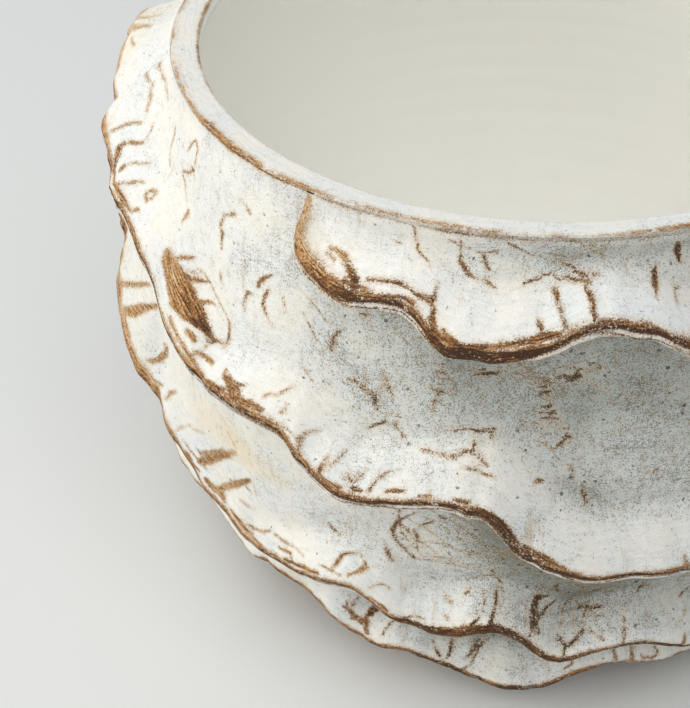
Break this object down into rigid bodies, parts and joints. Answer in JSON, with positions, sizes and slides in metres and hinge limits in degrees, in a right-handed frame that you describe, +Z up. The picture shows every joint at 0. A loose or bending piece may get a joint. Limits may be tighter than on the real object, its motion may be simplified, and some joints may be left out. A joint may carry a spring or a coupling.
{
  "type": "flower pot",
  "caption": "Squat globe-shaped ceramic planter with a flat rim band, a foot ring and ruffled clay frills spiralling down its wall; it holds soil and a plant.",
  "frame": {"origin": "on the ground, on the bowl's turning axis, at the centre of the foot ring's underside", "axes": "+Z up along the bowl's axis, -Y towards the side seen in the picture, +X to its right"},
  "size_m": [0.2599, 0.2561, 0.18],
  "materials": {
    "cream_glaze": "satin cream glaze on fired clay",
    "whitewashed_clay": "matt white slip rubbed back to brown clay on the edges",
    "bare_clay": "bare fired brown clay"
  },
  "bodies": {
    "root": {"bowl": "cream_glaze", "rim_band": "whitewashed_clay", "foot_ring": "bare_clay", "frill_front_left": "whitewashed_clay", "frill_left": "whitewashed_clay", "frill_back": "whitewashed_clay", "frill_right": "whitewashed_clay", "frill_front_right": "whitewashed_clay"}
  },
  "joints": []
}
